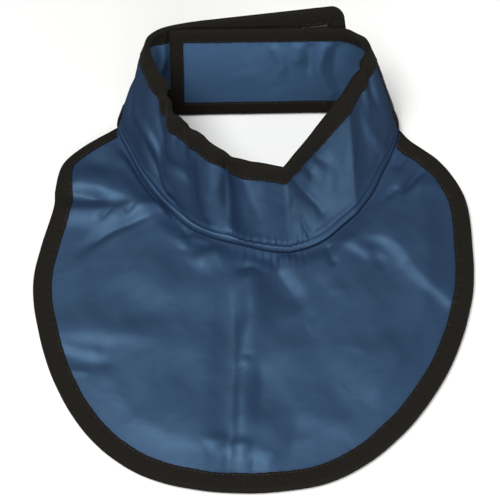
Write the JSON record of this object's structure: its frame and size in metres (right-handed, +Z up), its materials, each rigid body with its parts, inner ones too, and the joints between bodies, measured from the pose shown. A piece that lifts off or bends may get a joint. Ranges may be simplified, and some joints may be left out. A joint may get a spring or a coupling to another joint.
{
  "type": "thyroid shield collar",
  "caption": "Radiation thyroid shield lying on its bib: a rounded bib and a stand-up neck band with overlapping hook-and-loop arms, all edges bound in woven tape.",
  "frame": {"origin": "under the middle of the whole shield, at the height of the table it lies on", "axes": "+Z up from the table, +Y from the bib's lowest edge towards the back of the neck, +X towards the side whose arm lies inside at the back"},
  "size_m": [0.2822, 0.3252, 0.0697],
  "materials": {
    "coated_nylon": "smooth coated nylon with a soft sheen",
    "binding_tape": "ribbed woven tape, matt",
    "loop_pile": "brushed loop pile, matt",
    "hook_tape": "fine moulded hooks, matt"
  },
  "bodies": {
    "root": {"bib_panel": "coated_nylon", "bib_binding": "binding_tape", "collar_band": "coated_nylon", "collar_binding": "binding_tape", "loop_panel": "loop_pile", "hook_strip": "hook_tape"}
  },
  "joints": []
}
